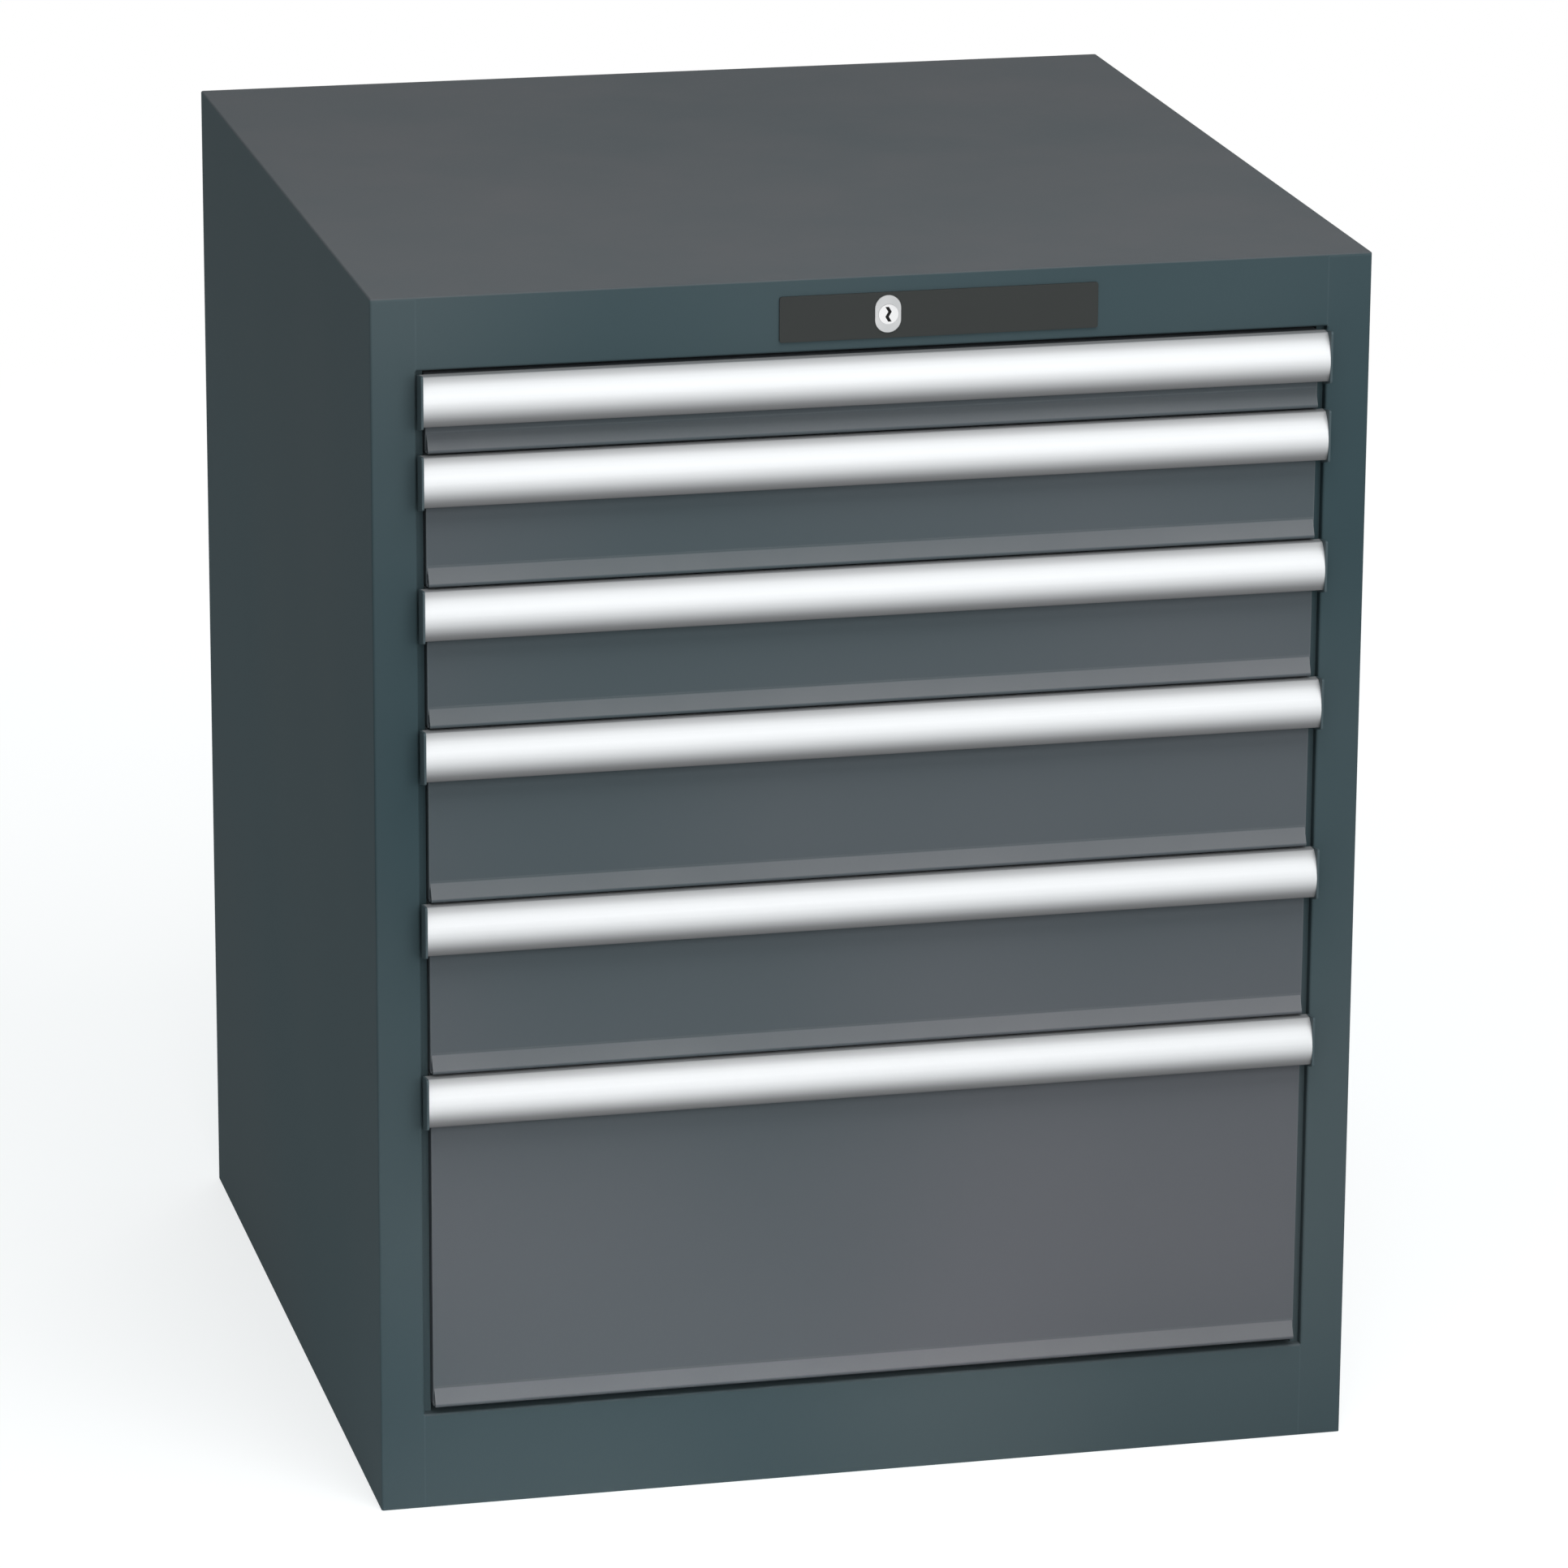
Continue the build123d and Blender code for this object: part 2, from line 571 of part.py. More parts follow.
def make_front(number, bottom, top):
    """One drawer front: a flat face and a flared lip below, with flanges all round.

    The face and the lip are two folded sheets that meet just above the lip's fold.
    """
    low = bottom + FRONT_BOTTOM_GAP
    high = top - FRONT_TOP_GAP
    half = FRONT_WIDTH / 2
    catch_z = top - CATCH_DROP
    with BuildPart() as front:
        with BuildSketch(Plane.YZ.offset(-half)):
            with BuildLine():
                FilletPolyline(
                    (FRONT_Y + FRONT_FLANGE, high),
                    (FRONT_Y, high),
                    (FRONT_Y, low + LIP_HEIGHT),
                    (FRONT_Y - LIP_REACH, low),
                    (FRONT_Y + FRONT_FLANGE, low),
                    radius=(FRONT_FOLD_RADIUS, FRONT_FOLD_RADIUS, LIP_NOSE_RADIUS),
                )
                offset(amount=SHEET, side=Side.LEFT)
            make_face()
        extrude(amount=FRONT_WIDTH)
        for side in SIDES:
            block(
                (side * half, FRONT_Y + SHEET, low + SHEET),
                (side * (half - SHEET), FRONT_Y + FRONT_FLANGE, high - SHEET),
            )
            block(
                (side * half, FRONT_Y - LIP_REACH, low),
                (side * (half - LIP_END_CUT), FRONT_Y, low + LIP_HEIGHT),
                mode=Mode.SUBTRACT,
            )
            block(
                (side * half, FRONT_Y + CATCH_DEPTH - CATCH_LENGTH / 2, catch_z - CATCH_HEIGHT / 2),
                (
                    side * (half - SHEET),
                    FRONT_Y + CATCH_DEPTH + CATCH_LENGTH / 2,
                    catch_z + CATCH_HEIGHT / 2,
                ),
                mode=Mode.SUBTRACT,
            )
        split(bisect_by=Plane.XY.offset(low + LIP_HEIGHT + LIP_SEAM_RISE), keep=Keep.BOTH)
    write(front.part, f"drawer_{number}_front")


def grip_outline(high):
    """Draws a grip hood's outer curve: one arc from its shelf over the crown to its lower lip."""
    bulge = HANDLE_REACH - HANDLE_SHELF
    radius = (bulge ** 2 + HANDLE_CROWN_DROP ** 2) / (2 * bulge)
    top_angle = degrees(acos((bulge - radius) / radius))
    lip_angle = 180 + degrees(asin((HANDLE_HEIGHT - HANDLE_CROWN_DROP) / radius))
    middle = (FRONT_Y - HANDLE_REACH + radius, high - HANDLE_CROWN_DROP)
    return CenterArc(middle, radius, top_angle, lip_angle - top_angle)


def make_handle(number, top):
    """One aluminium grip strip: a leg against the drawer front, a shelf on top and a curved hood."""
    high = top - HANDLE_TOP_GAP
    with BuildPart() as handle:
        with BuildSketch(Plane.YZ.offset(-HANDLE_HALF)) as section:
            with BuildLine():
                grip_outline(high)
                offset(amount=HANDLE_WALL, side=Side.LEFT)
            hood = make_face()
            fillet(hood.vertices().sort_by(Axis.Y)[:2], HANDLE_LIP_RADIUS)
            with Locations((FRONT_Y, high)):
                Rectangle(HANDLE_WALL, HANDLE_LEG, align=(Align.MAX, Align.MAX))
                Rectangle(HANDLE_SHELF, HANDLE_WALL, align=(Align.MAX, Align.MAX))
            shelf_edge = section.vertices().sort_by_distance((FRONT_Y - HANDLE_SHELF, high))[0]
            fillet(shelf_edge, HANDLE_EDGE_RADIUS)
        extrude(amount=2 * HANDLE_HALF)
    write(handle.part, f"drawer_{number}_handle")


def make_end_caps(number, top):
    """The two dark end caps of one grip strip, each with a plug that sits in the hollow strip."""
    high = top - HANDLE_TOP_GAP
    low = high - HANDLE_HEIGHT
    with BuildPart() as end_caps:
        for side in SIDES:
            inner_face = side * HANDLE_HALF
            outer_face = side * (HANDLE_HALF + CAP_THICKNESS)
            with BuildSketch(Plane.YZ.offset(min(inner_face, outer_face))):
                with BuildLine():
                    Polyline(
                        (FRONT_Y, high),
                        (FRONT_Y - HANDLE_REACH, high + CAP_RISE),
                        (FRONT_Y - HANDLE_REACH, low),
                        (FRONT_Y, low - CAP_TAIL),
                        close=True,
                    )
                plate = make_face()
                fillet(plate.vertices().sort_by(Axis.X)[:2], CAP_CORNER)
            extrude(amount=CAP_THICKNESS)
            block(
                (inner_face, FRONT_Y - CAP_PLUG_NEAR, high - CAP_PLUG_TOP),
                (
                    inner_face - side * CAP_PLUG_LENGTH,
                    FRONT_Y - CAP_PLUG_FAR,
                    high - CAP_PLUG_BOTTOM,
                ),
            )
    write(end_caps.part, f"drawer_{number}_end_caps")


def make_drawer_rails(number, runner_z):
    """The pair of channels on one drawer's sides."""
    with BuildPart() as rails:
        for side in SIDES:
            web = side * TRAY_OUTER
            channel(web, web + side * RAIL_FLANGE, runner_z, web + side * RAIL_SHEET)
    write(rails.part, f"drawer_{number}_rails")


def make_carriage(number, runner_z):
    """The pair of plates that carry one drawer's rollers between the channels."""
    with BuildPart() as carriage:
        for side in SIDES:
            inner_face = side * PLATE_X
            outer_face = side * (PLATE_X + CARRIAGE_PLATE)
            with BuildSketch(Plane.YZ.offset(min(inner_face, outer_face))):
                with Locations((CARRIAGE_Y, runner_z)):
                    RectangleRounded(CARRIAGE_LENGTH, CARRIAGE_HEIGHT, CARRIAGE_CORNER)
                    with GridLocations(ROLLER_SPACING, 0, 2, 1):
                        Circle(AXLE_RADIUS + AXLE_PLAY, mode=Mode.SUBTRACT)
            extrude(amount=CARRIAGE_PLATE)
    write(carriage.part, f"drawer_{number}_carriage")


def make_rollers(name, roller_y, runner_z):
    """A left and a right axle at one station, each with a roller inside and outside its carriage plate."""
    with BuildPart() as rollers:
        for side in SIDES:
            for start, length, radius in (
                (INNER_ROLLER_X, ROLLER_WIDTH, ROLLER_RADIUS),
                (INNER_ROLLER_X, OUTER_ROLLER_X - INNER_ROLLER_X, AXLE_RADIUS),
                (OUTER_ROLLER_X, ROLLER_WIDTH, ROLLER_RADIUS),
            ):
                with BuildSketch(Plane.YZ.offset(min(side * start, side * (start + length)))):
                    with Locations((roller_y, runner_z)):
                        Circle(radius)
                extrude(amount=length)
        rims = rollers.edges().filter_by(GeomType.CIRCLE).filter_by(lambda rim: rim.radius > AXLE_RADIUS)
        fillet(rims, ROLLER_EDGE)
    write(rollers.part, name)


levels = drawer_levels()
print("drawer number, bottom, top, runner height:", levels)
make_side_panel("left_side_panel", -1)
make_side_panel("right_side_panel", 1)
make_top_panel()
make_back_panel()
make_base_pan()
make_uprights()
make_cabinet_rails()
make_lock_plate()
make_lock_barrel()
make_lock_plug()
make_lock_cam()
make_lock_bar()
for number, bottom, top, runner_z in levels:
    make_tray(number, bottom, top)
    make_front(number, bottom, top)
    make_handle(number, top)
    make_end_caps(number, top)
    make_drawer_rails(number, runner_z)
    make_carriage(number, runner_z)
    make_rollers(f"drawer_{number}_front_rollers", CARRIAGE_Y - ROLLER_SPACING / 2, runner_z)
    make_rollers(f"drawer_{number}_rear_rollers", CARRIAGE_Y + ROLLER_SPACING / 2, runner_z)
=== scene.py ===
# %% [markdown]
# # A workshop cabinet with six drawers
# The cabinet's sheets, trays, runners and lock were drawn as solids in CAD, and packed together
# with their joints, so every size is settled before Blender starts. Blender's share is the look:
# paint, metal, plastic, small fixings, light and a camera. The frame is loaded first, because
# each piece is then placed from the solids themselves, in metres, and nothing has to be fitted
# by eye.

# %% Load the frame
import json
from math import cos, radians, sin

import bmesh
import bpy
from mathutils import Matrix, Vector


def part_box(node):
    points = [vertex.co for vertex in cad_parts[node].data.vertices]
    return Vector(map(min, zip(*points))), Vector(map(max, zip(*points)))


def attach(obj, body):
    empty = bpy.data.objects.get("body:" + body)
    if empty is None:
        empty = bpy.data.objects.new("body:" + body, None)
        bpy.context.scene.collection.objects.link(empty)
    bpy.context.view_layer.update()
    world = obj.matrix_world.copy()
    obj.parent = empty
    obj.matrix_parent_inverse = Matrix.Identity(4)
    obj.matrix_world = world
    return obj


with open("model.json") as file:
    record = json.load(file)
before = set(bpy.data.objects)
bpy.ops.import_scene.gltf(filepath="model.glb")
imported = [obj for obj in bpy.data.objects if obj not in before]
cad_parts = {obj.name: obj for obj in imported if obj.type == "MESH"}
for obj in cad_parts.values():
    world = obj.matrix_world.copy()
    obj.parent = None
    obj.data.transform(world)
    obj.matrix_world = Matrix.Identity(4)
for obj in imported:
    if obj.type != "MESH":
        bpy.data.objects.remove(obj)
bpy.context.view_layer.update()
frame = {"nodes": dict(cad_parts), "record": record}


# %% [markdown]
# ## Colours
# A paint chip is read off a screen on a scale of 0 to 255, with a curve built in that suits the
# eye. Shaders count light, without that curve. Typing the screen's numbers into a shader would
# make every paint too pale, so one small helper turns the one into the other, and the rest of
# the lesson can speak in screen colours.

# %% Screen colours to shader colours
CURVE_SHIFT = 0.055
CURVE_SCALE = 1.055
CURVE_POWER = 2.4


def chip(red, green, blue):
    """A screen colour of 0 to 255 as the linear RGBA that shaders take."""
    screen = [value / 255 for value in (red, green, blue)]
    linear = [((value + CURVE_SHIFT) / CURVE_SCALE) ** CURVE_POWER for value in screen]
    return (*linear, 1.0)


print("mid grey 128 is", round(chip(128, 128, 128)[0], 3), "of the light")

# %% [markdown]
# ## A short way to write nodes
# A material is a tree of nodes, and each node takes several lines of Python if it is made by
# hand. Two helpers make a node, set its options and fill its sockets in one line. A socket gets
# either a plain value or a link from another socket, and the helper can tell which.

# %% Node helpers
def fill(tree, node, inputs):
    """Fill a node's sockets: another socket is linked, anything else is set as a value."""
    for name, value in inputs.items():
        if isinstance(value, bpy.types.NodeSocket):
            tree.links.new(value, node.inputs[name])
        else:
            node.inputs[name].default_value = value


def add(tree, kind, inputs=None, **options):
    """A new shader node with its options set and its sockets filled."""
    made = tree.nodes.new("ShaderNode" + kind)
    for name, value in options.items():
        setattr(made, name, value)
    fill(tree, made, inputs or {})
    return made


print("helpers ready: fill, add")

# %% [markdown]
# ## Groups
# Some effects show on more than one finish: the ripple of the paint is, at a finer size, the
# grain of the plastic. An effect could be copied into each material, but then every change has
# to be made several times. A node group is built once and placed in each material like a single
# node, with that material's own values. Its named sockets belong to its interface, and two end
# nodes inside it stand for what comes in and what goes out.

# %% Group helpers
def new_group(name, inputs, outputs):
    """An empty node group with named number sockets, and its two end nodes."""
    tree = bpy.data.node_groups.new(name, "ShaderNodeTree")
    for direction, labels in (("INPUT", inputs), ("OUTPUT", outputs)):
        for label in labels:
            tree.interface.new_socket(label, in_out=direction, socket_type="NodeSocketFloat")
    return tree, tree.nodes.new("NodeGroupInput"), tree.nodes.new("NodeGroupOutput")


def put_out(group, result, outputs):
    """Link what a group has made to its output sockets, and say what it puts out."""
    fill(group, result, outputs)
    print("group", group.name, "puts out", " and ".join(outputs))


def placed(tree, group, inputs):
    """The output sockets of a group that is placed in a material with its own values."""
    return add(tree, "Group", inputs, node_tree=group).outputs


print("helpers ready: new_group, put_out, placed")

# %% [markdown]
# ## Ripple and cloud
# Powder coat is melted dust: it sets with a fine ripple like orange peel, and is never quite
# equally glossy all over. Moulded plastic has a finer version of the same grain. A picture of
# paint could be wrapped round the sheets, but it would stretch on the long ones and show its
# seams. Noise that reads Object coordinates, which here are the cabinet's own metres, has its
# real size on every sheet. One group gives the ripple as a height, and a slow cloud for
# roughness and colour.

# %% Group: ripple and cloud
def noise(tree, scale, detail, roughness=0.5, place=None):
    """The socket of a noise over the piece's own metres, or over another place."""
    if place is None:
        place = add(tree, "TexCoord").outputs["Object"]
    inputs = {"Vector": place, "Scale": scale, "Detail": detail, "Roughness": roughness}
    return add(tree, "TexNoise", inputs).outputs["Fac"]


def remap(tree, value, span=(0.0, 1.0), to=(0.0, 1.0)):
    """The socket of a number that is carried from one span to another, and held within it."""
    (low, high), (to_low, to_high) = span, to
    inputs = {"From Min": low, "From Max": high, "To Min": to_low, "To Max": to_high}
    return add(tree, "MapRange", {"Value": value, **inputs}).outputs["Result"]


ripple_group, given, result = new_group("ripple", ["Ripple", "Cloud"], ["Height", "Cloud"])
peel = noise(ripple_group, given.outputs["Ripple"], detail=2.0)
drift = noise(ripple_group, given.outputs["Cloud"], detail=1.5)
cloud = remap(ripple_group, drift, span=(0.3, 0.7))
put_out(ripple_group, result, {"Height": peel, "Cloud": cloud})

# %% [markdown]
# ## Pale edges: wear and a painted highlight
# Paint runs thin on a sharp fold, and hands and tools rub it there, so the edges of painted
# sheet look a little paler. The same paler colour also paints the thin highlight that a rounded
# fold catches from the lamps. The Bevel node can find the edges: it gives the normal that the
# surface would have with rounded edges, and where that differs from the real normal there is an
# edge. The difference is turned into a mask from 0 to 1, and noise breaks it up. This reads the
# real geometry, so no edge has to be painted by hand.

# %% Group: worn and highlit edges
def times(tree, first, second):
    """The socket of the product of two numbers."""
    return add(tree, "Math", {0: first, 1: second}, operation="MULTIPLY").outputs["Value"]


# pale edges: wear and a painted highlight on the folds
edge_group, given, result = new_group("worn_and_highlit_edge", ["Width"], ["Mask"])
rounded = add(edge_group, "Bevel", {"Radius": given.outputs["Width"]}, samples=4)
actual = add(edge_group, "NewGeometry")
normals = {0: rounded.outputs["Normal"], 1: actual.outputs["Normal"]}
match = add(edge_group, "VectorMath", normals, operation="DOT_PRODUCT")
edge = remap(edge_group, match.outputs["Value"], span=(0.98, 0.8))
patches = noise(edge_group, scale=60.0, detail=4.0)
put_out(edge_group, result, {"Mask": times(edge_group, edge, patches)})

# %% [markdown]
# ## Brushed lines
# Drawn and brushed metal carries fine lines along its length. Noise that is squeezed in two
# directions and left long in the third gives such lines. The place is multiplied by a number of
# steps per metre for each direction before the noise reads it, so one group serves the grip
# strips, whose lines run from side to side, and the runners, whose lines run from front to back.

# %% Group: brushed lines
LINE_STEPS = ("Along X", "Along Y", "Along Z")

line_group, given, result = new_group("brushed_lines", LINE_STEPS, ["Line"])
steps = dict(zip("XYZ", (given.outputs[name] for name in LINE_STEPS)))
squeeze = add(line_group, "CombineXYZ", steps)
metres = add(line_group, "TexCoord")
factors = {0: metres.outputs["Object"], 1: squeeze.outputs["Vector"]}
stretched = add(line_group, "VectorMath", factors, operation="MULTIPLY")
lines = noise(line_group, scale=1.0, detail=3.0, place=stretched.outputs["Vector"])
put_out(line_group, result, {"Line": lines})

# %% [markdown]
# ## Dust and a painted sheen
# Dust and the marks of things put down gather on faces that look up, and make dark paint there
# paler and greyer. The same mask also paints a sheen into the colour: faces that look up catch
# more of the light from above, and this mask makes them paler than the lamps alone do. The
# upright part of the surface normal tells how far a face looks up: 1 on the top of the cabinet,
# 0 on its walls. No dust falls where something overhangs, and the Ambient Occlusion node can
# tell: it looks straight up from the surface for a short way. Taking the paleness out there also
# paints the shade that the overhang throws. Noise breaks the film up. The mask only reads the
# shape, so a new piece gets its dust and sheen by itself.

# %% Group: dust and painted sheen
OVERHANG_REACH = 0.035


def upright_part(tree):
    """The socket of how far a face looks up: 1 is straight up, 0 level and -1 down."""
    surface = add(tree, "NewGeometry")
    return add(tree, "SeparateXYZ", {"Vector": surface.outputs["Normal"]}).outputs["Z"]


# dust and a painted sheen: paler on faces that look up
dust_and_sheen_group, given, result = new_group("dust_and_sheen", ["Amount"], ["Mask"])
facing = remap(dust_and_sheen_group, upright_part(dust_and_sheen_group), span=(0.1, 0.5))
mottle = noise(dust_and_sheen_group, scale=9.0, detail=5.0, roughness=0.6)
upward_patches = times(dust_and_sheen_group, facing, remap(dust_and_sheen_group, mottle, span=(0.2, 0.8), to=(0.6, 1.0)))
# painted shade: under an overhang the ambient occlusion takes the paleness out
straight_up = add(dust_and_sheen_group, "CombineXYZ", {"Z": 1.0})
look_up = {"Distance": OVERHANG_REACH, "Normal": straight_up.outputs["Vector"]}
open_sky = add(dust_and_sheen_group, "AmbientOcclusion", look_up, samples=8)
open_upward_patches = times(dust_and_sheen_group, open_sky.outputs["AO"], upward_patches)
put_out(dust_and_sheen_group, result, {"Mask": times(dust_and_sheen_group, open_upward_patches, given.outputs["Amount"])})

# %% [markdown]
# ## Materials
# Blender puts nodes of its own into a new material, so its tree is emptied first. Every finish
# on the cabinet then ends in a Principled shader, which covers paint, plastic and metal alike.
# It stays in the material itself, and a number that is the same all over a finish is set on it
# directly, because an exported model reads such numbers only there.

# %% An empty material
def empty_tree(owner):
    """The node tree of a material or a world, with nothing in it."""
    owner.use_nodes = True
    owner.node_tree.nodes.clear()
    return owner.node_tree


def new_material(name):
    """A material with its tree and a Principled shader."""
    material = bpy.data.materials.new(name)
    tree = empty_tree(material)
    shader = add(tree, "BsdfPrincipled")
    add(tree, "OutputMaterial", {"Surface": shader.outputs["BSDF"]})
    return material, tree, shader


print("helpers ready: empty_tree, new_material")

# %% [markdown]
# ## Blending and relief
# Two more steps come back in every finish. One blends two colours by a mask. The Mix node does
# that, but it holds sockets for numbers, vectors and colours under the same names, so those for
# colours are found by their number. The other turns a height into a tilted normal. That only
# fools the light and leaves the outline as it is, which is right for a grain as fine as these,
# where real geometry would take millions of faces.

# %% Blend and relief
MIX_FIRST, MIX_SECOND, MIX_RESULT = 6, 7, 2


def blend(tree, factor, first, second, how="MIX"):
    """The socket of a colour between two colours, each a value or a link."""
    inputs = {"Factor": factor, MIX_FIRST: first, MIX_SECOND: second}
    return add(tree, "Mix", inputs, data_type="RGBA", blend_type=how).outputs[MIX_RESULT]


def relief(tree, height, strength, distance):
    """The socket of the normal of a surface with a height on it."""
    inputs = {"Height": height, "Strength": strength, "Distance": distance}
    return add(tree, "Bump", inputs).outputs["Normal"]


print("helpers ready: blend, relief")

# %% [markdown]
# ## Powder coat
# The cabinet's sheets are powder coated. A painted steel sheet needs no metal in its shader:
# what shows is the paint, a dull body colour under a weak gloss. Cloud and ripple keep the large
# flat sheets from looking like a flat fill. The edge mask lets the folds show a little paler,
# from wear and a painted highlight, and the dust mask greys what looks up, with dust and a
# painted sheen of the light from above.

# %% A powder coat
PAINT_RIPPLE = {"Ripple": 850.0, "Cloud": 2.5}
PAINT_EDGE = {"Width": 0.0012}
PAINT_ROUGHNESS = (0.68, 0.76)
PAINT_GLOSS = 0.06


def powder_coat(name, cool, warm, edge_colour, dust_and_sheen_colour, dust_and_sheen_amount):
    """Dull paint that drifts between two close tones, paler on folds and on faces that look up.
    """
    material, tree, shader = new_material(name)
    skin = placed(tree, ripple_group, PAINT_RIPPLE)
    # the edge mask paints wear and a highlight on the folds
    edge = placed(tree, edge_group, PAINT_EDGE)
    # the dust mask paints dust and a sheen of light from above on faces that look up
    dust_sheen = placed(tree, dust_and_sheen_group, {"Amount": dust_and_sheen_amount})
    body = blend(tree, skin["Cloud"], cool, warm)
    pale_edged = blend(tree, edge["Mask"], body, edge_colour)
    finish = {
        "Base Color": blend(tree, dust_sheen["Mask"], pale_edged, dust_and_sheen_colour),
        "Roughness": remap(tree, skin["Cloud"], to=PAINT_ROUGHNESS),
        "Normal": relief(tree, skin["Height"], strength=0.12, distance=0.0002),
        "Specular IOR Level": PAINT_GLOSS,
    }
    fill(tree, shader, finish)
    return material


print("helper ready: powder_coat")

# %% [markdown]
# The housing and the drawers wear two greys of the same coat: a dark one with a green cast and a
# lighter, more neutral one. Each is given as two close tones to drift between, a colour for its
# folds, worn and with a painted highlight, and a colour for its dust and painted sheen. The
# lighter paint takes more of the dust and sheen, so its lips and trays, which face up, come out
# paler.

# %% Paint for the housing and the drawers
# edge colours paint wear and a fold highlight; dust colours paint dust and a sheen of light from
# above
housing_paint = powder_coat(
    "anthracite_coat",
    cool=chip(50, 68, 73),
    warm=chip(78, 88, 91),
    edge_colour=chip(84, 96, 99),
    dust_and_sheen_colour=chip(108, 102, 103),
    dust_and_sheen_amount=0.6,
)
# the same on the drawers, with more sheen on their upward lips
drawer_paint = powder_coat(
    "grey_coat",
    cool=chip(76, 85, 89),
    warm=chip(99, 99, 103),
    edge_colour=chip(114, 117, 119),
    dust_and_sheen_colour=chip(142, 140, 141),
    dust_and_sheen_amount=0.85,
)
print("paints:", housing_paint.name, drawer_paint.name)

# %% [markdown]
# ## A ramp of colours
# The next finish changes its tone along a curve. Several Mix nodes in a row could do that, but a
# colour ramp holds the whole run in one node: a number goes in, and the colour at that place
# comes out. A new ramp has two stops, so those become the ends and the others are added between.

# %% Ramp
def ramp(tree, value, stops):
    """The socket of a colour ramp over a value, from a table of places and colours."""
    made = add(tree, "ValToRGB", {"Fac": value})
    elements = made.color_ramp.elements
    places = sorted(stops)
    elements[0].position, elements[1].position = places[0], places[-1]
    for place in places[1:-1]:
        elements.new(place)
    for element, place in zip(elements, places):
        element.color = stops[place]
    return made.outputs["Color"]


print("helper ready: ramp")

# %% [markdown]
# ## Aluminium grips
# The grip strips are an extrusion, etched and anodised in its natural colour. The etched skin
# scatters light, so the metal looks silky and nearly white, where a polished strip would mirror
# the room. A shader that is part metal and part dull body gives that. Fine drawing lines run
# along the strip and vary its roughness. In a real room such a strip is bright along its middle
# and darker towards both edges, which face less light, and large soft lamps alone even that out.
# So that shade is painted into the colour: a colour ramp over the upright part of the surface
# normal makes the strip pale along its middle, darker towards both edges, and a little paler
# again on its flat top, which lightens the shade in the crevice there. 0 is a face that looks
# straight down, 0.5 an upright one and 1 one that looks up.

# %% Anodised aluminium
# painted shade: the grip's grey by how far its face looks up, pale along the middle, darker
# towards both edges, a little paler again on the flat top
GRIP_PAINTED_SHADE = {
    0.27: 93,
    0.34: 142,
    0.40: 176,
    0.455: 203,
    0.51: 221,
    0.565: 232,
    0.64: 235,
    0.715: 229,
    0.76: 218,
    0.805: 193,
    0.85: 148,
    0.90: 165,
}
GRIP_LINES = dict(zip(LINE_STEPS, (3.0, 1400.0, 1400.0)))
GRIP_METAL = 0.4
GRIP_GLOSS = 0.3

handle_aluminium, tree, shader = new_material("anodised_aluminium")
drawn = placed(tree, line_group, GRIP_LINES)["Line"]
lie = remap(tree, upright_part(tree), span=(-1.0, 1.0))
tones = {place: chip(grey, grey, grey + 1) for place, grey in GRIP_PAINTED_SHADE.items()}
streaks = remap(tree, drawn, to=(0.96, 1.0))
finish = {
    # the ramp paints shade and light into the base colour of the grip
    "Base Color": blend(tree, 1.0, ramp(tree, lie, tones), streaks, how="MULTIPLY"),
    "Roughness": remap(tree, drawn, to=(0.36, 0.5)),
    "Normal": relief(tree, drawn, strength=0.05, distance=0.0001),
    "Metallic": GRIP_METAL,
    "Specular IOR Level": GRIP_GLOSS,
}
fill(tree, shader, finish)
print("metal:", handle_aluminium.name, "in", len(GRIP_PAINTED_SHADE), "tones")

# %% [markdown]
# ## Moulded plastic
# The caps at the ends of the grips and the cover strip round the lock are moulded. Their moulds
# are spark-eroded, which leaves an even fine grain. The same ripple group gives that grain at a
# third of the size, so plastic and paint look related, as they do on the real cabinet.

# %% Plastic for the caps and the lock cover
PLASTIC_GRAIN = {"Ripple": 2600.0, "Cloud": 25.0}
PLASTIC_LIFT = 1.12
PLASTIC_DULLING = 0.08
PLASTIC_GLOSS = 0.3


def moulded(name, colour, roughness):
    """Dull moulded plastic with a fine grain, cloudy between a colour and a paler one."""
    material, tree, shader = new_material(name)
    skin = placed(tree, ripple_group, PLASTIC_GRAIN)
    paler = [value * PLASTIC_LIFT for value in colour[:3]] + [1.0]
    finish = {
        "Base Color": blend(tree, skin["Cloud"], colour, paler),
        "Roughness": remap(tree, skin["Cloud"], to=(roughness, roughness + PLASTIC_DULLING)),
        "Normal": relief(tree, skin["Height"], strength=0.2, distance=0.0001),
        "Specular IOR Level": PLASTIC_GLOSS,
    }
    fill(tree, shader, finish)
    return material


cap_plastic = moulded("cap_moulding", chip(66, 78, 82), roughness=0.55)
lock_cover_plastic = moulded("black_moulding", chip(42, 44, 43), roughness=0.5)
print("plastics:", cap_plastic.name, lock_cover_plastic.name)

# %% [markdown]
# ## Zinc, steel and nickel
# Runners, rollers and lock are bare or plated metal. On metal the colour tints the reflections,
# and how sharp they are depends on the roughness, so fine lines in the roughness are what makes
# it look drawn or turned. All are the same kind of shader, so one function makes them from a
# dark and a pale tone, a range of roughness and the steps of their lines along each direction.

# %% A plated metal
PLATE_CLOUD = {"Ripple": 1500.0, "Cloud": 70.0}


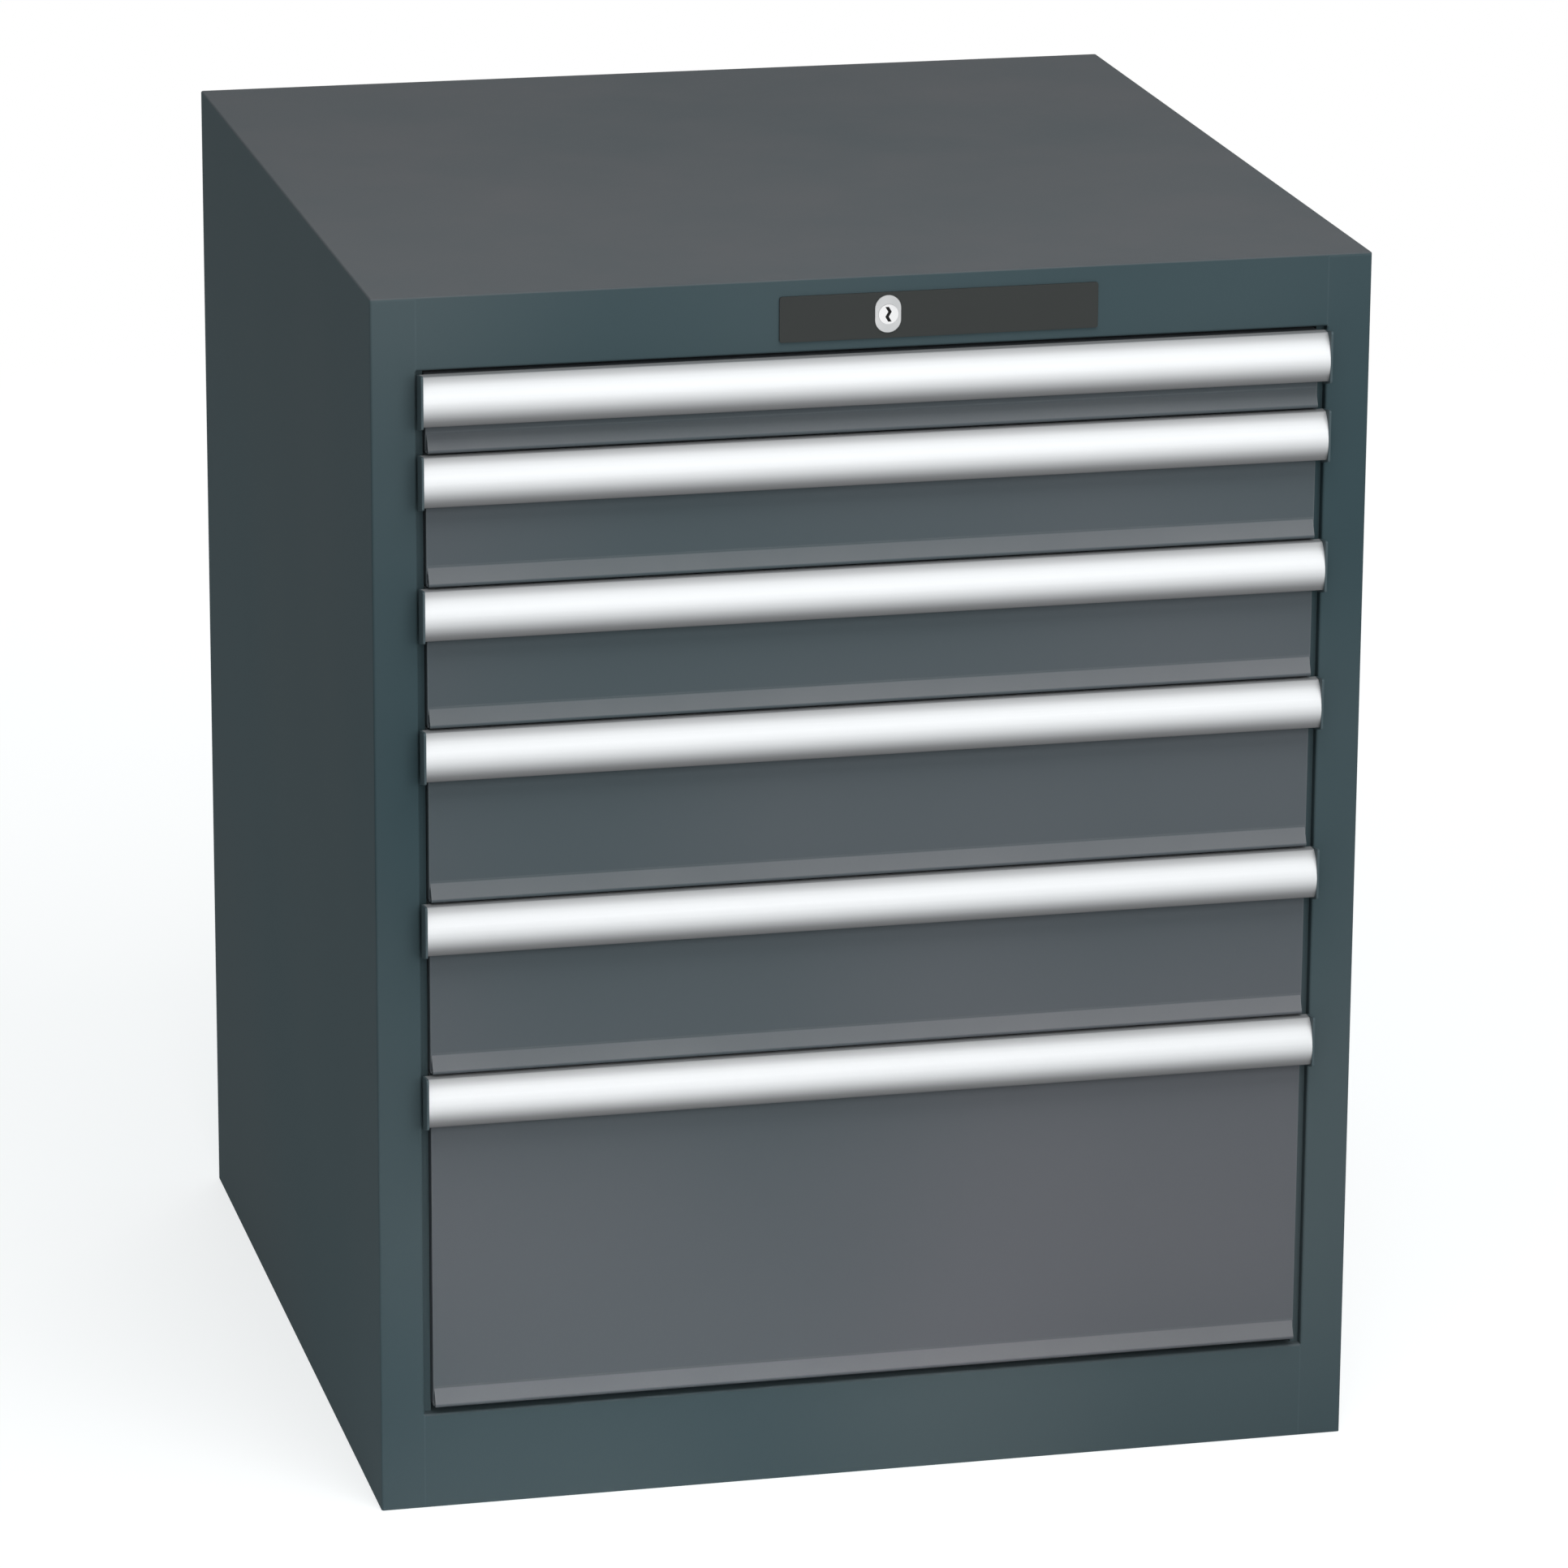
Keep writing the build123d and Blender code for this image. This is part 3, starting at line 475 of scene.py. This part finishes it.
def plated(name, dark, pale, rough, lines):
    """Plated metal with fine lines, cloudy between two tones."""
    material, tree, shader = new_material(name)
    drawn = placed(tree, line_group, dict(zip(LINE_STEPS, lines)))["Line"]
    skin = placed(tree, ripple_group, PLATE_CLOUD)
    finish = {
        "Base Color": blend(tree, skin["Cloud"], dark, pale),
        "Roughness": remap(tree, drawn, to=rough),
        "Normal": relief(tree, drawn, strength=0.06, distance=0.0001),
        "Metallic": 1.0,
    }
    fill(tree, shader, finish)
    return material


print("helper ready: plated")

# %% [markdown]
# The runners are zinc-plated strip: grey, a little cloudy, with rolling lines from front to
# back. The rollers are turned steel, smoother and darker. The lock is nickel plated, dull on its
# body and polished on the plug that turns, which has the sharpest reflections on the cabinet.

# %% Metals of the runners and the lock
runner_steel = plated(
    "zinc_plate",
    dark=chip(160, 163, 166),
    pale=chip(190, 192, 193),
    rough=(0.35, 0.5),
    lines=(900.0, 5.0, 900.0),
)
roller_steel = plated(
    "turned_steel",
    dark=chip(150, 152, 156),
    pale=chip(172, 174, 177),
    rough=(0.25, 0.35),
    lines=(1500.0, 60.0, 60.0),
)
lock_metal = plated(
    "nickel_plate",
    dark=chip(200, 202, 203),
    pale=chip(216, 217, 217),
    rough=(0.3, 0.42),
    lines=(1200.0, 1200.0, 40.0),
)
plug_metal = plated(
    "polished_nickel",
    dark=chip(238, 239, 240),
    pale=chip(248, 248, 248),
    rough=(0.16, 0.24),
    lines=(40.0, 1200.0, 1200.0),
)
print("metals:", runner_steel.name, roller_steel.name, lock_metal.name, plug_metal.name)

# %% [markdown]
# ## Dressing the solids
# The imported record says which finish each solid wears, by the name of a material slot. A table
# from slot to material lets one loop dress all sixty solids. Only their material changes: the
# shapes are the CAD's. The lock's plug shares a slot with its body, and gets its polish after.

# %% Give each solid its finish
finishes = {
    "housing_paint": housing_paint,
    "drawer_paint": drawer_paint,
    "handle_aluminium": handle_aluminium,
    "cap_plastic": cap_plastic,
    "runner_steel": runner_steel,
    "roller_steel": roller_steel,
    "lock_cover_plastic": lock_cover_plastic,
    "lock_metal": lock_metal,
}
subparts = frame["record"]["subparts"]
for part in subparts:
    solid = frame["nodes"][part["node"]]
    solid.material_slots[0].material = finishes[part["material_slot"]]
frame["nodes"]["lock_plug"].material_slots[0].material = plug_metal
print("dressed", len(subparts), "solids in", len(finishes) + 1, "finishes")

# %% [markdown]
# ## Adding a piece
# Small fixings weren't worth a solid in CAD, so they are modelled here as meshes. Each is built
# where it sits, in the cabinet's metres, so its object stays at the origin. It is then told
# which body it rides on, which makes it move with that body's joint, and which finish it wears.

# %% From a mesh to a riding piece
def new_piece(bm, name, body, material):
    """An object from a bmesh that moves with a body and wears a finish."""
    bmesh.ops.recalc_face_normals(bm, faces=bm.faces)
    mesh = bpy.data.meshes.new(name)
    bm.to_mesh(mesh)
    bm.free()
    mesh.materials.append(material)
    piece = bpy.data.objects.new(name, mesh)
    bpy.context.scene.collection.objects.link(piece)
    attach(piece, body)
    print(name, "on", body, len(mesh.polygons), "faces")


print("helper ready: new_piece")

# %% [markdown]
# ## Painted shade in the keyway
# A keyway looks black because little light finds its way into it. A near-black plate just behind
# its mouth paints that shade. Black paint in the slot would look the same from the front, but a
# plate has a real depth when one looks in from the side. It is small and flat and lies across
# the plug, so a box does: a cube is scaled to its size and moved to its place. It turns with the
# plug.

# %% Keyway shade plate
SHADE_PLATE = Vector((0.0056, 0.0006, 0.0092))
SHADE_PLATE_DEPTH = 0.0008


def add_block(bm, size, middle):
    """A block added to a bmesh, with a size and a middle point."""
    made = bmesh.ops.create_cube(bm, size=1.0)["verts"]
    bmesh.ops.scale(bm, vec=size, verts=made)
    bmesh.ops.translate(bm, vec=middle, verts=made)


plug_low, plug_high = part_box("lock_plug")
middle = (plug_low + plug_high) / 2
middle.y = plug_low.y + SHADE_PLATE_DEPTH + SHADE_PLATE.y / 2
bm = bmesh.new()
add_block(bm, SHADE_PLATE, middle)
# painted shade: a near-black plate that makes the keyway look dark
keyway_shade_black = moulded("keyway_shade_black", chip(12, 12, 12), roughness=0.6)
new_piece(bm, "keyway_shade_plate", "lock_plug", keyway_shade_black)

# %% [markdown]
# ## Ledges beside the drawers
# Each stile is folded back into the opening, and a narrow ledge on the fold closes most of the
# gap beside the drawers, so that one looks at painted steel there and not into the dark. It is a
# long flat strip, so it is made as another block, measured between the solids round the opening.
# It stays half a millimetre clear of the fronts that slide past it.

# %% Ledges
OPENING_HALF = 0.257
LEDGE_CLEAR = 0.0005
LEDGE_DEPTH = 0.006
LEDGE_THICKNESS = 0.0012

wall_low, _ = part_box("right_side_panel")
_, front_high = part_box("drawer_6_front")
rail_low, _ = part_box("top_panel")
_, pan_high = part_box("base_pan")
inner = front_high.x + LEDGE_CLEAR
size = Vector((OPENING_HALF - inner, LEDGE_THICKNESS, rail_low.z - pan_high.z))
ledge_x = (OPENING_HALF + inner) / 2
ledge_y = wall_low.y + LEDGE_DEPTH + size.y / 2
ledge_z = (rail_low.z + pan_high.z) / 2
bm = bmesh.new()
for side in (-1, 1):
    add_block(bm, size, (side * ledge_x, ledge_y, ledge_z))
new_piece(bm, "jamb_ledges", "cabinet", housing_paint)
print("ledge:", [round(1000 * value, 2) for value in size], "mm")

# %% [markdown]
# ## Blind rivets
# A runner is riveted to a drawer from the inside, and the back sheet to the flanges of the side
# walls. A blind rivet has a low round head with a dimple, where its mandrel broke off. A cone
# cut off low gives the head, a bevel rounds its shoulder, and an inset and an extrusion sink the
# dimple. Its outline could also be spun round an axis, but this way each measure stays a number
# of its own. All rivets are alike, so one is made at the origin and kept as a mesh.

# %% One rivet
RIVET_RADIUS = 0.0035
RIVET_CROWN = 0.0026
RIVET_HEIGHT = 0.0011
SHOULDER = 0.0005
DIMPLE_RADIUS = 0.001
DIMPLE_DEPTH = 0.0007


def highest(bm):
    """The face of a bmesh that lies highest."""
    return max(bm.faces, key=lambda face: face.calc_center_median().z)


def rivet_head():
    """One head that stands on the origin and looks up."""
    bm = bmesh.new()
    bmesh.ops.create_cone(
        bm,
        cap_ends=True,
        segments=24,
        radius1=RIVET_RADIUS,
        radius2=RIVET_CROWN,
        depth=RIVET_HEIGHT,
        matrix=Matrix.Translation((0, 0, RIVET_HEIGHT / 2)),
    )
    bmesh.ops.bevel(
        bm,
        geom=list(highest(bm).edges),
        offset=SHOULDER,
        segments=3,
        profile=0.5,
        affect="EDGES",
        material=-1,
    )
    crown = highest(bm)
    rim = RIVET_CROWN - SHOULDER - DIMPLE_RADIUS
    bmesh.ops.inset_individual(bm, faces=[crown], thickness=rim)
    sunk = bmesh.ops.extrude_discrete_faces(bm, faces=[crown])["faces"][0]
    bmesh.ops.translate(bm, vec=(0, 0, -DIMPLE_DEPTH), verts=sunk.verts[:])
    mesh = bpy.data.meshes.new("rivet_head")
    bm.to_mesh(mesh)
    bm.free()
    return mesh


rivet = rivet_head()
print("rivet head:", len(rivet.polygons), "faces, radius", 1000 * RIVET_RADIUS, "mm")

# %% [markdown]
# ## Rivets of the drawers
# Four rivets hold each runner. A helper stamps a copy of the head onto a sheet, turned to look
# away from it. A runner's height is read from its solid's box, so the rivets follow it. Along
# the drawer they sit between the divider slots, whose pitch is 17 mm. All the rivets of a drawer
# are one piece, because they move as one.

# %% Rivets of the drawers
DRAWERS = range(1, 7)
TRAY_WALL = 0.2295
TRAY_MIDDLE = -0.02875
RIVET_STEPS = (-0.204, -0.068, 0.068, 0.204)


def stamp(bm, mesh, place, outward):
    """A copy of a mesh added to a bmesh, standing on a place and looking outward."""
    before = len(bm.verts)
    bm.from_mesh(mesh)
    bm.verts.ensure_lookup_table()
    turn = outward.to_track_quat("Z", "Y").to_matrix().to_4x4()
    bmesh.ops.transform(bm, matrix=Matrix.Translation(place) @ turn, verts=bm.verts[before:])


for number in DRAWERS:
    runner_low, runner_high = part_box(f"drawer_{number}_rails")
    height = (runner_low.z + runner_high.z) / 2
    bm = bmesh.new()
    for side in (-1, 1):
        for step in RIVET_STEPS:
            place = Vector((side * TRAY_WALL, TRAY_MIDDLE + step, height))
            stamp(bm, rivet, place, outward=Vector((-side, 0, 0)))
    new_piece(bm, f"drawer_{number}_rivets", f"drawer_{number}", runner_steel)

# %% [markdown]
# ## Rivets of the back
# The back sheet's rivets were driven before the cabinet was painted, so they wear its paint.
# They sit in the middle of the two flanges. The height is cut into equal steps with a rivet in
# the middle of each, so that the ends get half a step and no rivet comes near a corner.

# %% Rivets of the back
BACK_RIVET_X = 0.272
BACK_RIVETS = 7

_, wall_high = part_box("right_side_panel")
bm = bmesh.new()
for side in (-1, 1):
    for step in range(BACK_RIVETS):
        height = wall_high.z * (step + 0.5) / BACK_RIVETS
        place = Vector((side * BACK_RIVET_X, wall_high.y, height))
        stamp(bm, rivet, place, outward=Vector((0, 1, 0)))
new_piece(bm, "back_rivets", "cabinet", housing_paint)

# %% [markdown]
# ## The floor
# A cabinet for a catalogue stands on a plain pale floor. One large square does, so wide that the
# camera never finds its end. It lies a hair below the cabinet, so that the two don't share a
# surface.

# %% Floor
FLOOR_HALF = 30.0
FLOOR_DROP = 0.0002

mesh = bpy.data.meshes.new("floor")
bm = bmesh.new()
bmesh.ops.create_grid(bm, x_segments=1, y_segments=1, size=FLOOR_HALF)
bmesh.ops.translate(bm, vec=(0, 0, -FLOOR_DROP), verts=bm.verts)
bm.to_mesh(mesh)
bm.free()
floor = bpy.data.objects.new("floor", mesh)
bpy.context.scene.collection.objects.link(floor)
print("floor:", 2 * FLOOR_HALF, "m square")

# %% [markdown]
# A floor lit until it looks white would throw so much light back that the paint washed out. The
# Light Path node tells rays apart instead: to the camera, and in reflections, the floor looks
# white, and for everything else it is a plain matt grey. Near the cabinet a part of the white
# comes from the lamps alone, and there the cabinet's shadow falls. That part fades out with
# distance, so the floor runs into the background without an edge. The glow makes up for the
# rest: it is white less what the lamps give an open floor.

# %% The floor's white
FLOOR_GREY = (0.5, 0.5, 0.5, 1.0)
SHADOW_SPAN = (0.3, 2.5)
SHADOW_PART = 0.45
LAMP_LEVEL = 0.68


def seen_directly(tree):
    """1 for rays that show something to the camera: straight on, mirrored or through glass."""
    path = add(tree, "LightPath").outputs
    seen = path["Is Camera Ray"]
    for kind in ("Is Glossy Ray", "Is Transmission Ray"):
        seen = add(tree, "Math", {0: seen, 1: path[kind]}, operation="MAXIMUM").outputs["Value"]
    return seen


floor_white = bpy.data.materials.new("floor_white")
tree = empty_tree(floor_white)
metres = add(tree, "TexCoord")
reach = add(tree, "VectorMath", {0: metres.outputs["Object"]}, operation="LENGTH")
near = remap(tree, reach.outputs["Value"], span=SHADOW_SPAN, to=(SHADOW_PART, 0.0))
rest = add(tree, "Math", {0: near, 1: -LAMP_LEVEL, 2: 1.0}, operation="MULTIPLY_ADD")
matt = add(tree, "BsdfDiffuse", {"Color": FLOOR_GREY})
shadowed = add(tree, "BsdfDiffuse", {"Color": near})
glow = add(tree, "Emission", {"Strength": rest.outputs["Value"]})
white = add(tree, "AddShader", {0: shadowed.outputs["BSDF"], 1: glow.outputs["Emission"]})
choice = {0: seen_directly(tree), 1: matt.outputs["BSDF"], 2: white.outputs["Shader"]}
pick = add(tree, "MixShader", choice)
add(tree, "OutputMaterial", {"Surface": pick.outputs["Shader"]})
floor.data.materials.append(floor_white)
print("floor finish:", floor_white.name, "with a shadow up to", SHADOW_SPAN[1], "m away")

# %% [markdown]
# ## The world
# Beyond the floor there is only the world, which lights the cabinet from all around. A backdrop
# could close the view, but it would stand in the way when one walks round the cabinet. So the
# world is white to the camera and in reflections, like the floor, and otherwise a weak cool
# fill, which keeps the sides that no lamp reaches from turning black.

# %% World
FILL_COLOUR = (0.72, 0.93, 1.0, 1.0)
FILL_STRENGTH = 0.3
WHITE = (1.0, 1.0, 1.0, 1.0)

world = bpy.data.worlds.new("studio")
bpy.context.scene.world = world
tree = empty_tree(world)
dim = add(tree, "Background", {"Color": FILL_COLOUR, "Strength": FILL_STRENGTH})
bright = add(tree, "Background", {"Color": WHITE, "Strength": 1.0})
choice = {0: seen_directly(tree), 1: dim.outputs["Background"], 2: bright.outputs["Background"]}
pick = add(tree, "MixShader", choice)
add(tree, "OutputWorld", {"Surface": pick.outputs["Shader"]})
print("world fill:", FILL_STRENGTH)

# %% [markdown]
# ## Lamps
# Point lamps would throw hard shadows. A studio uses soft boxes, and in Blender those are area
# lamps: the larger they are, the softer the shadow. The helper turns each towards a point, and
# hides it from the camera and from reflections, so that no bright square shows on the metal.

# %% A soft box
WIDE_SPREAD = 180.0


def soft_box(name, place, aim, width, height, watts, spread=WIDE_SPREAD):
    """A rectangular area lamp at a place, turned towards a point."""
    lamp = bpy.data.lights.new(name, "AREA")
    lamp.shape = "RECTANGLE"
    lamp.size = width
    lamp.size_y = height
    lamp.energy = watts
    lamp.spread = radians(spread)
    stand = bpy.data.objects.new(name, lamp)
    stand.location = place
    stand.rotation_euler = (Vector(aim) - Vector(place)).to_track_quat("-Z", "Y").to_euler()
    stand.visible_camera = False
    stand.visible_glossy = False
    bpy.context.scene.collection.objects.link(stand)
    print(name, "of", watts, "W,", width, "x", height, "m")


print("helper ready: soft_box")

# %% [markdown]
# A large box stands before the cabinet, a little to the right, and lights the front evenly while
# the left wall falls off. A second hangs over it, further forward than the grips reach, so that
# every grip throws a long soft shadow down its drawer. A small weak one has a narrow spread,
# like a lamp behind a honeycomb grid, and lifts the foot on the left, because large dark sheets
# look alive when their tone drifts. The last one stands behind, for those who walk round the
# cabinet.

# %% Four soft boxes
soft_box(
    "front_box",
    place=(0.3, -2.6, 1.2),
    aim=(0.0, -0.28, 0.3),
    width=2.2,
    height=1.4,
    watts=36.0,
)
soft_box(
    "overhead_box",
    place=(0.1, -1.3, 2.4),
    aim=(0.0, -0.28, 0.45),
    width=1.8,
    height=1.2,
    watts=26.0,
)
soft_box(
    "low_left_box",
    place=(-0.9, -2.5, 0.5),
    aim=(-0.16, -0.28, -0.06),
    width=0.4,
    height=0.4,
    watts=0.25,
    spread=16.0,
)
soft_box(
    "back_box",
    place=(0.7, 2.6, 1.1),
    aim=(0.0, 0.29, 0.35),
    width=2.0,
    height=1.4,
    watts=24.0,
)

# %% [markdown]
# ## Camera
# The picture was taken from far away with a long lens: the cabinet's edges hardly converge. Its
# stance was worked out from the housing's corners: where it stands, how far it is turned to the
# right, tilted down and rolled. A camera could be aimed at a point with a constraint, but that
# leaves no say over the roll. So a rotation matrix is built from the three angles, column by
# column: right, up, and backwards, because a camera in Blender looks along its own negative Z.

# %% Camera
CAMERA_PLACE = Vector((-0.990, -4.2255, 1.631))
TURN = radians(13.38)
TILT = radians(-16.71)
ROLL = radians(0.33)
LENS = 175.16
SENSOR = 36.0
FAR_CLIP = 200.0

ahead = Vector((sin(TURN) * cos(TILT), cos(TURN) * cos(TILT), sin(TILT)))
level = Vector((cos(TURN), -sin(TURN), 0))
above = level.cross(ahead)
right = level * cos(ROLL) + above * sin(ROLL)
up = above * cos(ROLL) - level * sin(ROLL)
turned = Matrix((right, up, -ahead)).transposed().to_4x4()
lens = bpy.data.cameras.new("camera")
lens.lens = LENS
lens.sensor_width = SENSOR
lens.clip_end = FAR_CLIP
camera = bpy.data.objects.new("camera", lens)
camera.matrix_world = Matrix.Translation(CAMERA_PLACE) @ turned
bpy.context.scene.collection.objects.link(camera)
bpy.context.scene.camera = camera
bpy.context.scene.view_settings.view_transform = "Standard"
print("camera at", [round(value, 3) for value in camera.location], "lens", LENS, "mm")
